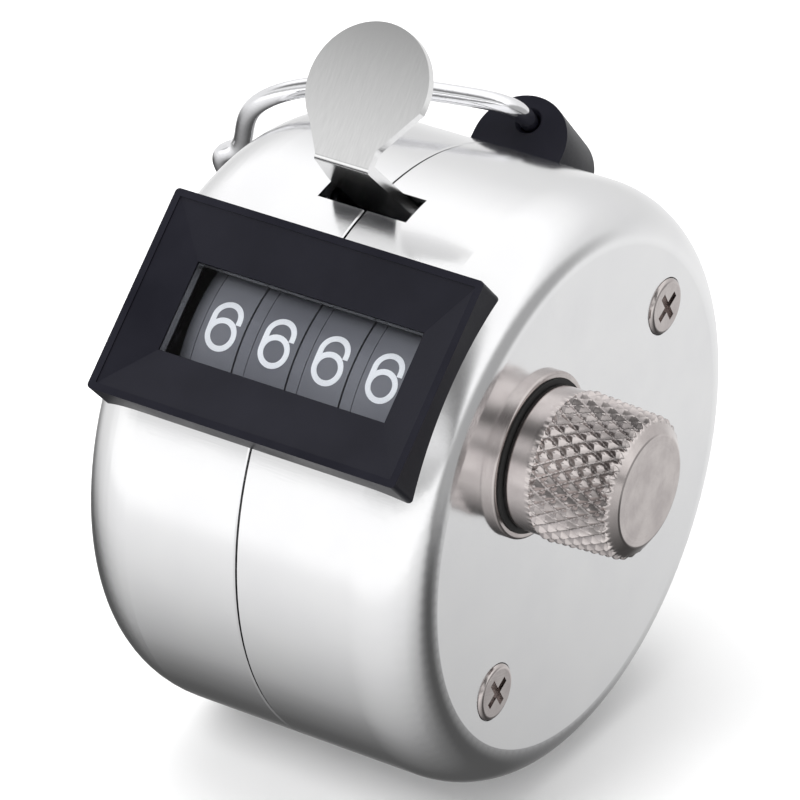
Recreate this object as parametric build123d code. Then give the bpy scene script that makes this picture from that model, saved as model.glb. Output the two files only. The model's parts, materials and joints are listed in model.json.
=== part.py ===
from build123d import *
import os
from math import asin, cos, degrees, hypot, pi, radians, sin, sqrt

# Hand tally counter, four digits, in millimetres.  X runs along the barrel toward the reset knob,
# Z is up and -Y is the front.  The origin is the middle of the barrel, on the seam of its two halves.

# ---- driving dimensions ---------------------------------------------------------------------------
BARREL_R = 22.5            # outside radius of the round case
HALF_WIDTH = 14.4          # barrel centre to each flat end face
ROUND_X = 4.9              # end rounding, along the barrel
ROUND_R = 3.7              # end rounding, toward the barrel's axis
WALL = 0.9                 # plated steel case wall
SEAM_GAP = 0.14            # gap between the two halves
SEAM_BREAK = 0.10          # broken edge each side of the seam
RUN = 0.05                 # radial clearance of every running fit
FIT = 0.05                 # clearance of a piece dropped into a cut-out

WINDOW_TILT = 46.7         # window normal above horizontal, facing front and up
WHEEL_AXIS_N = 9.4         # wheel shaft to barrel axis, along the window normal
WHEEL_R = 10.2
WHEEL_PITCH = 4.5
WHEEL_COUNT = 4
RIM_WIDTH = 3.4
RIM_WALL = 0.9
WEB = 0.9
HUB_R = 2.6
GEAR_WIDTH = 0.5
DRUM_R_IN = 7.0            # stiffening drum that carries the gear and the locking disc
SHAFT_R = 1.25
SHAFT_R_KNOB = 1.9

GEAR_MODULE = 0.9
GEAR_TEETH = 20
PINION_TEETH = 8
PRESSURE_ANGLE = 25.0
ADDENDUM = 0.8             # in modules, stubbed so that eight teeth don't foul
DEDENDUM = 1.1             # in modules
BACKLASH = 0.14
PINION_WIDTH = 0.9
PINION_DIRECTION = -15.0   # polar angle of the pinion shaft seen from the wheel shaft
PINION_SHAFT_R = 0.9

PLATE_INNER = 11.0         # inner face of each mechanism side plate
PLATE = 1.0
ROD_R = 1.5                # spacer rods between the plates
TENON_R = 1.0

LEVER_PIVOT = (1.0, 17.3)  # y, z
LEVER_SHAFT_R = 1.2
LEVER_TUBE_R = 2.0
LEVER_STROKE = 9.5         # degrees of one full press
STRIP = 0.75               # lever sheet thickness
LEVER_BEND = (-7.91, 26.2) # y, z of the fold between strip and paddle
LEVER_ROOT = (-0.2, 18.45) # y, z where the strip joins the pivot tube
PADDLE_R = 4.76
PADDLE_X = -0.65
PADDLE_RISE = 5.48         # bend to paddle centre
PADDLE_LEAN = 40.0         # paddle's lean back from vertical
NECK_X = (-2.65, 1.8)      # paddle's neck at the fold
NECK_RISE = 1.25           # fold to the waist on the neck's right
SLOT_X = (-4.0, 3.4)
SLOT_ANGLES = (98.3, 105.3) # polar angles of its edges on the barrel; its rear wall slopes with the strip
STRIP_X = (-3.75, 1.8)     # strip's sides where it enters the slot

RATCHET_TIP_R = 5.4
RATCHET_ROOT_R = 4.0
RATCHET_DRIVE_R = 5.1      # where the drive pawl bears
DIGITS = 10
CLICK_ANGLE = 200.0        # reset click, about the wheel axis

COLLAR_R = 6.15
COLLAR_BARREL_R = 4.9      # collar's part inside the case wall
COLLAR_FRONT = 15.0
SEAL_R = 5.65
SEAL_X = (14.6, 15.15)
KNOB_NECK_R = 5.3
KNOB_NECK_X = (15.2, 17.3)
KNOB_R = 5.55              # knurled drum where it starts
KNOB_RIM_R = 5.22          # and where its end chamfer starts
KNOB_RIM_X = 23.15
KNOB_FACE_R = 4.1
KNOB_TIP = 23.9

CASE_SCREWS = ((11.3, 10.45), (-11.3, -10.35))   # y, z
POST_R = 2.3
SCREW_HEAD_R = 2.15
SCREW_R = 1.2

BEZEL_WIDTH, BEZEL_HEIGHT = 25.7, 15.7
BEZEL_SHIFT = -0.5         # bezel centre, up the window plane
BEZEL_FRONT = 23.14        # front rim to barrel axis
SKIRT_MARGIN = 0.7         # bezel edge to its skirt
SKIRT_BACK = 18.2
VIEW_WIDTH, VIEW_HEIGHT = 18.9, 6.9
VIEW_FACE = 21.94
LENS_BACK = 20.1
LENS_FLANGE = 1.0
BEZEL_RIM = 0.55
BEZEL_CORNER = 0.35
SHIELD_R = (9.84, 10.12)   # gear shield's fingers, about the wheel axis
SHIELD_SPAN = (60.0, 123.0) # degrees about the wheel axis, 90 being the window's normal
SHIELD_FINGER = 0.9        # finger width in the 1.1 mm gap between rims

LUG_ANGLE = 41.0           # polar angle of the ring lug
LUG_R = 3.8
LUG_CROWN = 0.35           # centre of its round top above the barrel
LUG_FRONT, LUG_REAR = -4.5, 1.5
LUG_FOOT_REAR = 5.0
LUG_HOLE_R = 0.8
LUG_HOLE_HEIGHT = 2.16     # above the barrel
WIRE_R = 0.72
RING_FOLD = 25.0           # ring's dip below the barrel's tangent plane when folded
RING_CENTRE = -0.7         # along the lug
RING_STRAIGHT = 4.0        # half the straight part that runs through the lug
RING_HALF_OUTLINE = ((2.8, 8.8), (8.5, 12.6), (15.2, 13.8), (18.6, 11.8), (21.6, 6.8))
RING_LENGTH = 24.2

# ---- worked-out places ----------------------------------------------------------------------------
TILT = radians(WINDOW_TILT)
NORMAL = Vector(0, -cos(TILT), sin(TILT))
UPWARD = Vector(0, sin(TILT), cos(TILT))
WHEEL_AXIS = (NORMAL.Y * WHEEL_AXIS_N, NORMAL.Z * WHEEL_AXIS_N)
GEAR_PITCH_R = GEAR_MODULE * GEAR_TEETH / 2
PINION_PITCH_R = GEAR_MODULE * PINION_TEETH / 2
MESH = GEAR_PITCH_R + PINION_PITCH_R
PINION_TIP_R = PINION_PITCH_R + ADDENDUM * GEAR_MODULE
LOCK_R = MESH - PINION_TIP_R - 0.13


def polar(centre, radius, angle):
    return centre[0] + radius * cos(radians(angle)), centre[1] + radius * sin(radians(angle))


PINION_AXIS = polar(WHEEL_AXIS, MESH, PINION_DIRECTION)
SPACERS = ((14.0, 2.0), (2.0, -13.0), (-16.5, -4.0))
WHEEL_X = [(i - (WHEEL_COUNT - 1) / 2) * WHEEL_PITCH for i in range(WHEEL_COUNT)]
RATCHET_X = (WHEEL_X[-1] + RIM_WIDTH / 2 + 0.15, WHEEL_X[-1] + RIM_WIDTH / 2 + 1.05)
ARM_X = (10.0, 10.8)
INNER_FACE = HALF_WIDTH - WALL
HEAD_SEAT = HALF_WIDTH - 0.5


# ---- small helpers --------------------------------------------------------------------------------
def across(x, centre=(0, 0)):
    """Plane square to the barrel at x, its own x along Y and its own y along Z."""
    return Plane(origin=(x, centre[0], centre[1]), x_dir=(0, 1, 0), z_dir=(1, 0, 0))


def window_plane(height, shift=0.0):
    """Plane parallel to the window, its own x along X and its own y up the window."""
    return Plane(origin=NORMAL * height + UPWARD * shift, x_dir=(1, 0, 0), z_dir=NORMAL)


def rod(centre, x0, x1, radius):
    return extrude(across(x0, centre) * Circle(radius), amount=x1 - x0)


def tube(centre, x0, x1, outer, inner):
    return extrude(across(x0, centre) * (Circle(outer) - Circle(inner)), amount=x1 - x0)


def slab(sketch, x0, x1, centre=(0, 0)):
    return extrude(across(x0, centre) * sketch, amount=x1 - x0)


def hull(circles):
    """Outline round circles given as (y, z, radius)."""
    edges = [Pos(y, z) * edge for y, z, r in circles for edge in Circle(r).edges()]
    return make_hull(edges)


def turned(profile):
    """Solid of revolution about the barrel's axis from an outline in the XY plane."""
    return revolve(make_face(profile), axis=Axis.X)


def save(name, shape):
    solids = shape.solids() if hasattr(shape, "solids") else [shape]
    piece = solids[0] if len(solids) == 1 else Compound(children=list(solids))
    piece.label = name
    export_step(piece, f"parts/{name}.step")


# ---- case -----------------------------------------------------------------------------------------
def half_form(radius, half_width, edge_break):
    """One half of the barrel as a solid, from the seam toward +X, with its rounded end."""
    seam = SEAM_GAP / 2
    shoulder = half_width - ROUND_X
    face_r = radius - ROUND_R
    corner = [(seam, radius - edge_break), (seam + edge_break, radius)] if edge_break else [(seam, radius)]
    outline = Polyline((half_width, face_r), (half_width, 0), (seam, 0), *corner, (shoulder, radius))
    rounding = EllipticalCenterArc((shoulder, face_r), ROUND_X, ROUND_R, 0, arc_size=90)
    return turned(outline + rounding)


def half_shell():
    outer = half_form(BARREL_R, HALF_WIDTH, SEAM_BREAK)
    inner = half_form(BARREL_R - WALL, INNER_FACE, 0)
    mouth = rod((0, 0), -1, 1, BARREL_R - WALL)
    return outer - inner - mouth


def barrel_form():
    """Whole outside form of the barrel, for trimming what sits on it."""
    half = half_form(BARREL_R + 0.02, HALF_WIDTH, 0)
    return half + mirror(half, about=Plane.YZ) + rod((0, 0), -1, 1, BARREL_R + 0.02)


def bezel_block(back, front, margin, corner):
    outline = RectangleRounded(BEZEL_WIDTH - 2 * margin, BEZEL_HEIGHT - 2 * margin, corner)
    return extrude(window_plane(back, BEZEL_SHIFT) * outline, amount=front - back)


def lever_slot():
    """Slot for the lever strip; its rear wall is parallel to the strip at rest."""
    rear = polar((0, 0), BARREL_R, SLOT_ANGLES[0])
    run = (LEVER_ROOT[0] - LEVER_BEND[0], LEVER_ROOT[1] - LEVER_BEND[1])
    length = hypot(*run)
    corners = [(rear[0] + run[0] / length * k, rear[1] + run[1] / length * k) for k in (-2.5, 3.2)]
    corners += [polar((0, 0), r, SLOT_ANGLES[1]) for r in (19.0, 25.0)]
    return slab(make_face(Polyline(*corners, close=True)), *SLOT_X)


def lug_plane(along):
    """Plane square to the lug's length at a distance behind its middle; own y is outward."""
    t = radians(LUG_ANGLE)
    back = Vector(0, sin(t), -cos(t))
    out = Vector(0, cos(t), sin(t))
    return Plane(origin=out * BARREL_R + back * along, x_dir=(-1, 0, 0), z_dir=back)


def lug_prism(half, low, high, front, rear):
    sketch = Pos(0, (low + high) / 2) * Rectangle(2 * half, high - low)
    return extrude(lug_plane(front) * sketch, amount=rear - front)


def lug_neck(extra):
    return lug_prism(2.4 + extra, -2.4, 1.5, -3.6 - extra, 0.6 + extra)


def case_openings():
    window = bezel_block(12, 26, SKIRT_MARGIN - FIT, 0.6 + FIT)
    return window + lever_slot() + lug_neck(FIT)


def left_shell():
    shell = mirror(half_shell(), about=Plane.YZ)
    lip_r = BARREL_R - WALL
    shell += tube((0, 0), -2.5, -0.03, lip_r + 0.3, 20.9) & rod((0, 0), -3, 0, lip_r + 0.2)
    shell += tube((0, 0), -0.5, 2.0, lip_r - FIT, 20.9)
    shell -= lug_prism(3.75, -2.5, -0.93, LUG_FRONT - 0.2, LUG_FOOT_REAR + 0.2)
    for centre in CASE_SCREWS:
        shell += rod(centre, -INNER_FACE - 0.1, PLATE_INNER, POST_R)
        shell -= rod(centre, 2.0, PLATE_INNER, SCREW_R)
    return shell - case_openings()


def right_shell():
    shell = half_shell()
    for centre in CASE_SCREWS:
        shell += rod(centre, PLATE_INNER + PLATE, INNER_FACE + 0.1, POST_R)
        shell -= rod(centre, PLATE_INNER, HALF_WIDTH + 1, SCREW_R + 0.1)
        shell -= rod(centre, HEAD_SEAT, HALF_WIDTH + 1, SCREW_HEAD_R + FIT)
    shell -= rod(WHEEL_AXIS, INNER_FACE - 1, HALF_WIDTH + 1, COLLAR_BARREL_R)
    return shell - case_openings()


def cross_recess(centre, x, depth):
    arm = Rectangle(2.5, 0.55) + Rectangle(0.55, 2.5)
    return slab(Rot(0, 0, 30) * arm, x - depth, x + 1, centre)


def case_screws():
    screws = []
    for centre in CASE_SCREWS:
        head = rod(centre, HEAD_SEAT, HEAD_SEAT + 0.75, SCREW_HEAD_R)
        head = fillet(head.edges().filter_by(GeomType.CIRCLE).sort_by(Axis.X)[-1], 0.35)
        shank = rod(centre, 3.2, HEAD_SEAT, SCREW_R)
        screws.append(head + shank - cross_recess(centre, HEAD_SEAT + 0.75, 0.55))
    return Compound(children=[s.solid() for s in screws])


def bezel():
    body = bezel_block(SKIRT_BACK, BEZEL_FRONT, 0, BEZEL_CORNER) - barrel_form()
    body += bezel_block(SKIRT_BACK, BEZEL_FRONT - 0.5, SKIRT_MARGIN, 0.6)
    rim_in = Rectangle(BEZEL_WIDTH - 2 * BEZEL_RIM, BEZEL_HEIGHT - 2 * BEZEL_RIM)
    step = window_plane(BEZEL_FRONT - 0.12, BEZEL_SHIFT) * rim_in
    opening = Rectangle(VIEW_WIDTH, VIEW_HEIGHT)
    view = window_plane(VIEW_FACE, BEZEL_SHIFT) * opening
    body -= loft([step.face(), view.face()], ruled=True)
    body -= extrude(step, amount=1)
    body -= extrude(window_plane(SKIRT_BACK - 1, BEZEL_SHIFT) * opening, amount=8)
    body -= lens_form(FIT)
    hollow = RectangleRounded(BEZEL_WIDTH - 3.8, BEZEL_HEIGHT - 3.8, 0.5)
    return body - extrude(window_plane(SKIRT_BACK - 1, BEZEL_SHIFT) * hollow, amount=LENS_BACK + 1 - SKIRT_BACK)


def lens_form(extra):
    flange = Rectangle(VIEW_WIDTH + 1.8 + 2 * extra, VIEW_HEIGHT + 1.8 + 2 * extra)
    return extrude(window_plane(LENS_BACK - extra, BEZEL_SHIFT) * flange, amount=LENS_FLANGE + 2 * extra)


def window_lens():
    boss = Rectangle(VIEW_WIDTH - 0.1, VIEW_HEIGHT - 0.1)
    return lens_form(0) + extrude(window_plane(LENS_BACK, BEZEL_SHIFT) * boss, amount=VIEW_FACE - 0.1 - LENS_BACK)


def gear_shield():
    """Comb behind the window: a curved finger on each rim's left, so that the gears don't show."""
    low, high = SHIELD_SPAN
    arc = [polar((0, WHEEL_AXIS_N), SHIELD_R[0], low + (high - low) * k / 12) for k in range(13)]
    arc += [polar((0, WHEEL_AXIS_N), SHIELD_R[1], high + (low - high) * k / 12) for k in range(13)]
    upper = Pos(4.95, 18.55) * Rectangle(0.7, 0.9)
    lower = Pos(-5.7, 18.1) * Rectangle(0.65, 0.9)
    finger = make_face(Polyline(*arc, close=True)) + upper + lower

    def side(x):
        return Plane(origin=(x, 0, 0), x_dir=UPWARD, z_dir=(1, 0, 0))

    bars = Pos(4.93, 19.4) * Rectangle(0.9, 1.4) + Pos(-5.85, 19.2) * Rectangle(1.1, 1.8)
    comb = extrude(side(0) * bars, amount=10.4, both=True)
    for x in WHEEL_X:
        comb += extrude(side(x - WHEEL_PITCH / 2) * finger, amount=SHIELD_FINGER / 2, both=True)
    return comb


# ---- mechanism frame ------------------------------------------------------------------------------
def plate_outline():
    circles = [(y, z, 2.5) for y, z in SPACERS] + [(y, z, 3.4) for y, z in CASE_SCREWS]
    circles += [(*WHEEL_AXIS, 4.0), (*LEVER_PIVOT, 2.7)]
    return hull(circles)


def side_plate(x0, shaft_r, screw_r):
    plate = slab(plate_outline(), x0, x0 + PLATE)
    holes = [(WHEEL_AXIS, shaft_r), (PINION_AXIS, PINION_SHAFT_R), (LEVER_PIVOT, LEVER_SHAFT_R)]
    holes += [(centre, TENON_R) for centre in SPACERS] + [(centre, screw_r) for centre in CASE_SCREWS]
    for centre, radius in holes:
        plate -= rod(centre, x0 - 1, x0 + PLATE + 1, radius)
    return plate


def spacer_rods():
    rods = []
    for centre in SPACERS:
        full = rod(centre, -PLATE_INNER, PLATE_INNER, ROD_R)
        rods.append(full + rod(centre, -PLATE_INNER - PLATE, PLATE_INNER + PLATE, TENON_R))
    return Compound(children=[r.solid() for r in rods])


# ---- gears and number wheels ----------------------------------------------------------------------
def involute_outline(teeth, spin):
    """Closed outline of a spur gear, with radial flanks below the base circle."""
    pitch_r = GEAR_MODULE * teeth / 2
    base_r = pitch_r * cos(radians(PRESSURE_ANGLE))
    tip_r = pitch_r + ADDENDUM * GEAR_MODULE
    root_r = pitch_r - DEDENDUM * GEAR_MODULE

    def unwind(radius):
        roll = sqrt(max((radius / base_r) ** 2 - 1, 0))
        return degrees(roll) - degrees(asin(roll / hypot(1, roll)))

    half = degrees((pi * GEAR_MODULE - BACKLASH) / 4 / pitch_r) + unwind(pitch_r)
    start_r = max(base_r, root_r)
    radii = [root_r] + [start_r + (tip_r - start_r) * k / 4 for k in range(5)]
    if root_r >= base_r:
        radii = radii[1:]
    points = []
    for tooth in range(teeth):
        middle = spin + 360 * tooth / teeth
        rising = [(r, middle - half + unwind(r)) for r in radii]
        falling = [(r, middle + half - unwind(r)) for r in reversed(radii)]
        points += [polar((0, 0), r, a) for r, a in rising + falling]
    return make_face(Polyline(*points, close=True))


def number_wheel(index):
    """Rim, web, hub and drum, with the driven gear on the right and the locking disc on the left."""
    x = WHEEL_X[index]
    half = RIM_WIDTH / 2
    reach = half + GEAR_WIDTH
    wheel = tube(WHEEL_AXIS, x - half, x + half, WHEEL_R, WHEEL_R - RIM_WALL)
    wheel += tube(WHEEL_AXIS, x - WEB / 2, x + WEB / 2, WHEEL_R - RIM_WALL, HUB_R - 0.5)
    wheel += tube(WHEEL_AXIS, x - reach, x + half, HUB_R, SHAFT_R + RUN)
    drum_left = x - (reach if index > 0 else half)
    wheel += tube(WHEEL_AXIS, drum_left, x + half, LOCK_R, DRUM_R_IN)
    if index < WHEEL_COUNT - 1:
        outline = involute_outline(GEAR_TEETH, PINION_DIRECTION)
        gear = slab(outline - Circle(DRUM_R_IN), x + half, x + reach, WHEEL_AXIS)
        wheel += gear + tube(WHEEL_AXIS, x + half - 0.1, x + reach, HUB_R, SHAFT_R + RUN)
    else:
        wheel += tube(WHEEL_AXIS, x + half - 0.1, RATCHET_X[1], HUB_R - 0.4, SHAFT_R + RUN)
    if index > 0:
        wheel -= carry_notches(x)
    return wheel - click_slot(x)


def carry_notches(x):
    """Two notches in the locking disc, beside the place where the next wheel is carried over."""
    notches = []
    for step in (-1, 1):
        y, z = polar(WHEEL_AXIS, LOCK_R, PINION_DIRECTION + 180 + 9 * step)
        notches.append(rod((y, z), x - RIM_WIDTH / 2 - GEAR_WIDTH - 1, x - RIM_WIDTH / 2, 0.45))
    return notches[0] + notches[1]


def click_slot(x):
    low, high = SHAFT_R - 0.2, 4.3
    box = Pos((low + high) / 2, 0) * Rectangle(high - low, 0.9)
    return slab(Rot(0, 0, CLICK_ANGLE) * box, x - 1.65, x - 0.95, WHEEL_AXIS)


def reset_click(index):
    """Spring finger in the wheel's left recess, its nose on the reset shaft."""
    x = WHEEL_X[index]
    nose = Pos((SHAFT_R + RUN + 5.4) / 2, 0) * Rectangle(5.4 - SHAFT_R - RUN, 0.8)
    pad = Pos(5.4, 0) * Circle(0.9)
    return slab(Rot(0, 0, CLICK_ANGLE) * (nose + pad), x - 1.6, x - 1.0, WHEEL_AXIS)


def ratchet_wheel():
    points = []
    for tooth in range(DIGITS):
        face = 252 + 360 / DIGITS * tooth
        points.append(polar((0, 0), RATCHET_ROOT_R, face))
        points.append(polar((0, 0), RATCHET_TIP_R, face))
    outline = make_face(Polyline(*points, close=True)) - Circle(HUB_R - 0.4)
    return slab(outline, *RATCHET_X, WHEEL_AXIS)


def transfer_pinion(index):
    x = (WHEEL_X[index] + WHEEL_X[index + 1]) / 2
    gap_facing_wheel = PINION_DIRECTION + 180 + 180 / PINION_TEETH
    outline = involute_outline(PINION_TEETH, gap_facing_wheel) - Circle(PINION_SHAFT_R + RUN)
    return slab(outline, x - PINION_WIDTH / 2, x + PINION_WIDTH / 2, PINION_AXIS)


def pinion_spacers():
    centres = [(WHEEL_X[i] + WHEEL_X[i + 1]) / 2 for i in range(WHEEL_COUNT - 1)]
    stops = [-PLATE_INNER - PINION_WIDTH / 2] + centres + [PLATE_INNER + PINION_WIDTH / 2]
    reach = PINION_WIDTH / 2
    tubes = [tube(PINION_AXIS, a + reach + RUN, b - reach - RUN, 1.5, PINION_SHAFT_R)
             for a, b in zip(stops, stops[1:])]
    return Compound(children=[t.solid() for t in tubes])


def wheel_spacers():
    left_end = WHEEL_X[0] - RIM_WIDTH / 2 - GEAR_WIDTH
    left = tube(WHEEL_AXIS, -PLATE_INNER + RUN, left_end - RUN, 2.2, SHAFT_R + RUN)
    right = tube(WHEEL_AXIS, RATCHET_X[1] + RUN, PLATE_INNER - 0.15, 2.2, SHAFT_R + RUN)
    return Compound(children=[left.solid(), right.solid()])


# ---- reset shaft and knob -------------------------------------------------------------------------
def reset_shaft():
    shaft = rod(WHEEL_AXIS, -13.0, PLATE_INNER - 0.1, SHAFT_R)
    shaft += rod(WHEEL_AXIS, PLATE_INNER - 0.1, 21.0, SHAFT_R_KNOB)
    groove = Pos(SHAFT_R, 0) * Rectangle(0.9, 0.7)
    return shaft - slab(Rot(0, 0, CLICK_ANGLE + 90) * groove, -8.6, 8.4, WHEEL_AXIS)


def reset_knob():
    neck_back, drum_back = KNOB_NECK_X
    outline = Polyline((neck_back, 0), (neck_back, KNOB_NECK_R), (drum_back, KNOB_NECK_R),
                       (drum_back + 0.2, KNOB_R), (KNOB_RIM_X, KNOB_RIM_R), (KNOB_TIP, KNOB_FACE_R),
                       (KNOB_TIP, 0), close=True)
    knob = Pos(0, *WHEEL_AXIS) * turned(outline)
    knob -= rod(WHEEL_AXIS, 15, 21.0, SHAFT_R_KNOB)
    return knob - grub_hole(SHAFT_R_KNOB - 0.5, KNOB_NECK_R + 1)


def grub_hole(inner, outer):
    y, z = polar(WHEEL_AXIS, inner, -70)
    direction = Vector(0, cos(radians(-70)), sin(radians(-70)))
    plane = Plane(origin=(sum(KNOB_NECK_X) / 2, y, z), x_dir=(1, 0, 0), z_dir=direction)
    return extrude(plane * Circle(0.6), amount=outer - inner)


def knob_grub_screw():
    barrel = rod(WHEEL_AXIS, 15, 21.0, SHAFT_R_KNOB)
    return grub_hole(SHAFT_R_KNOB - 0.5, KNOB_NECK_R - 0.3) - barrel


def knob_collar():
    inner = SHAFT_R_KNOB + RUN
    flange = tube(WHEEL_AXIS, HALF_WIDTH, COLLAR_FRONT, COLLAR_R, inner)
    outer_edge = flange.edges().filter_by(GeomType.CIRCLE).sort_by(Axis.X)[-2:]
    flange = fillet(outer_edge.sort_by(SortBy.LENGTH)[-1], 0.2)
    flange -= rod(WHEEL_AXIS, SEAL_X[0], COLLAR_FRONT + 1, SEAL_R + FIT)
    return flange + tube(WHEEL_AXIS, 12.1, HALF_WIDTH, COLLAR_BARREL_R, inner)


def collar_nut():
    hexagon = RegularPolygon(6.4, 6) - Circle(COLLAR_BARREL_R)
    return slab(hexagon, 12.15, INNER_FACE, WHEEL_AXIS)


def knob_seal():
    return tube(WHEEL_AXIS, *SEAL_X, SEAL_R, SHAFT_R_KNOB + RUN)


def shaft_clip():
    ring = Circle(2.6) - Circle(SHAFT_R) - Pos(2, 0) * Rectangle(4, 1.6)
    return slab(ring, -12.6, -12.1, WHEEL_AXIS)


# ---- thumb lever and pawls ------------------------------------------------------------------------
def paddle_plane():
    lean = radians(PADDLE_LEAN)
    up = Vector(0, sin(lean), cos(lean))
    facing = Vector(1, 0, 0).cross(up)
    return Plane(origin=(0, *LEVER_BEND), x_dir=(1, 0, 0), z_dir=facing)


def paddle():
    """Round thumb plate, cut in toward a narrower neck."""
    left, right = NECK_X
    disc = Pos(PADDLE_X, PADDLE_RISE) * Circle(PADDLE_R)
    notch = make_face(Polyline((right, NECK_RISE), (right + 2.4, NECK_RISE + 3.69), (8, 4.9), (8, -1),
                               (right, -1), close=True))
    notch = fillet(notch.vertices().sort_by_distance((right, NECK_RISE, 0))[0], 0.9)
    neck = make_face(Polyline((left, 0), (right + 0.5, 0), (right + 0.5, 3.0), (left - 1.43, 2.2),
                              close=True))
    return extrude(paddle_plane() * (disc + neck - notch), amount=STRIP / 2, both=True)


def strip():
    """Flat sheet from the fold at the paddle through the slot to the pivot tube."""
    left, right = STRIP_X
    neck_left, neck_right = NECK_X
    sheet = slab(trace(Line(LEVER_BEND, LEVER_ROOT), STRIP), left, right)
    bend = rod(LEVER_BEND, left, right, STRIP / 2)
    fold, slot, root, top = LEVER_BEND[1], 22.5, 15, 30
    outline = make_face(Polyline((neck_left, top), (neck_left, fold), (left, slot), (left, root),
                                 (right, root), (right, slot), (neck_right, fold), (neck_right, top),
                                 close=True))
    front = Plane(origin=(0, 30, 0), x_dir=(1, 0, 0), z_dir=(0, -1, 0))
    return (sheet + bend) & extrude(front * outline, amount=60)


def lever_arm():
    q = pawl_hinge()
    arm = hull([(*LEVER_PIVOT, 2.2), (*q, 1.4)])
    return slab(arm, *ARM_X)


def pawl_hinge():
    """Hinge of the drive pawl on the lever arm, half a stroke short of straight below the pivot."""
    chord = 2 * RATCHET_DRIVE_R * sin(radians(180 / DIGITS))
    reach = chord / 2 / sin(radians(LEVER_STROKE / 2))
    return LEVER_PIVOT[0] - chord / 2, LEVER_PIVOT[1] - reach * cos(radians(LEVER_STROKE / 2))


def thumb_lever():
    lever = paddle() + strip() + tube(LEVER_PIVOT, -6.0, ARM_X[1], LEVER_TUBE_R, 0.5) + lever_arm()
    lever -= rod(LEVER_PIVOT, -7, 12, LEVER_SHAFT_R + RUN)
    return lever - rod(pawl_hinge(), 9, 12, 0.6)


def pawl_pin():
    q = pawl_hinge()
    return rod(q, 8.75, ARM_X[1] + 0.1, 0.6) + rod(q, 8.5, 8.75, 1.1)


def drive_pawl():
    q = pawl_hinge()
    nose_turn = degrees(0.56 / RATCHET_DRIVE_R)
    nose = polar(WHEEL_AXIS, RATCHET_DRIVE_R + 0.03, 252 - nose_turn)
    heel = (nose[0] - 0.4, nose[1] - 2.7)
    body = hull([(*q, 1.3), (*heel, 0.7)]) + hull([(*heel, 0.7), (*nose, 0.4)])
    return slab(body - Pos(*q) * Circle(0.6 + RUN), 8.8, 9.4)


def pawl_spring():
    """Leaf on the lever arm that keeps the pawl up against the ratchet."""
    q = pawl_hinge()
    leaf = hull([(q[0] - 0.3, q[1] - 2.0, 0.12), (q[0] - 5.0, q[1] - 1.0, 0.12)])
    foot = hull([(q[0] - 0.3, q[1] - 2.0, 0.3), (q[0] + 0.8, q[1] - 1.9, 0.3)])
    return slab(leaf, 8.9, 9.3) + slab(foot, 8.9, ARM_X[0])


def holding_pawl():
    anchor = (-13.0, 0.5)
    tip = polar(WHEEL_AXIS, RATCHET_TIP_R + 0.4, 200)
    arm = hull([(*anchor, 0.6), (*tip, 0.32)])
    return slab(arm, 8.8, 9.4) + rod(anchor, 8.8, PLATE_INNER, 1.2)


def detent_comb():
    """Three spring fingers on a spacer rod, each resting by one pinion's teeth."""
    base = SPACERS[1]
    comb = tube(base, -6.0, 6.0, 2.0, ROD_R)
    towards = degrees(1.5 * pi) - 12.6
    tip = polar(PINION_AXIS, PINION_TIP_R + 0.4, towards)
    finger = hull([(base[0] + 0.3, base[1] + 1.75, 0.22), (*tip, 0.3)])
    for i in range(WHEEL_COUNT - 1):
        x = (WHEEL_X[i] + WHEEL_X[i + 1]) / 2
        comb += slab(finger, x - 0.4, x + 0.4)
    return comb


def lever_spring():
    """Close-wound torsion coil round the lever shaft, with one straight leg at each end."""
    first, turns, pitch, inner, outer = -9.8, 6, 0.5, 1.5, 2.0
    axis_y, axis_z = LEVER_PIVOT
    ends = [(first + pitch * k, outer - 0.12) for k in range(turns + 1)]
    tops = [ThreePointArc(a, ((a[0] + b[0]) / 2, outer), b) for a, b in zip(ends, ends[1:])]
    base = Polyline(ends[-1], (ends[-1][0], inner), (ends[0][0], inner), ends[0])
    ring = revolve(make_face(tops + [base]), axis=Axis.X)
    coil = Pos(0, axis_y, axis_z) * ring
    for x, start, lean in ((first + pitch / 2, 55, -35), (first + pitch * (turns - 0.5), 90, 180)):
        away = Vector(0, cos(radians(lean)), sin(radians(lean)))
        origin = Vector(x, *polar(LEVER_PIVOT, (inner + outer) / 2 - 0.04, start))
        coil += extrude(Plane(origin=origin, x_dir=(1, 0, 0), z_dir=away) * Circle(0.2), amount=3.6)
    return coil


# ---- ring lug and finger ring ---------------------------------------------------------------------
def ring_lug():
    side = Pos(0, (LUG_CROWN - 2.4) / 2) * Rectangle(2 * LUG_R, LUG_CROWN + 2.4)
    profile = Pos(0, LUG_CROWN) * Circle(LUG_R) + side
    lug = extrude(lug_plane(LUG_FRONT) * profile, amount=LUG_REAR - LUG_FRONT)
    lug -= barrel_form()
    foot = lug_prism(3.6, -2.4, 1.0, LUG_FRONT, LUG_FOOT_REAR)
    foot = foot & tube((0, 0), -5, 5, BARREL_R - WALL - 0.03, 20.4)
    lug += lug_neck(0) + foot
    hole = lug_plane(LUG_FRONT - 1) * Pos(0, LUG_HOLE_HEIGHT) * Circle(LUG_HOLE_R)
    lug -= extrude(hole, amount=LUG_REAR - LUG_FRONT + 2)
    for along, toward in ((LUG_FRONT, 1), (LUG_REAR, -1)):
        mouth = lug_plane(along) * Pos(0, LUG_HOLE_HEIGHT) * Circle(LUG_HOLE_R + 0.25)
        lug -= extrude(mouth, amount=0.35 * toward, taper=35)
    return lug


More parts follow.
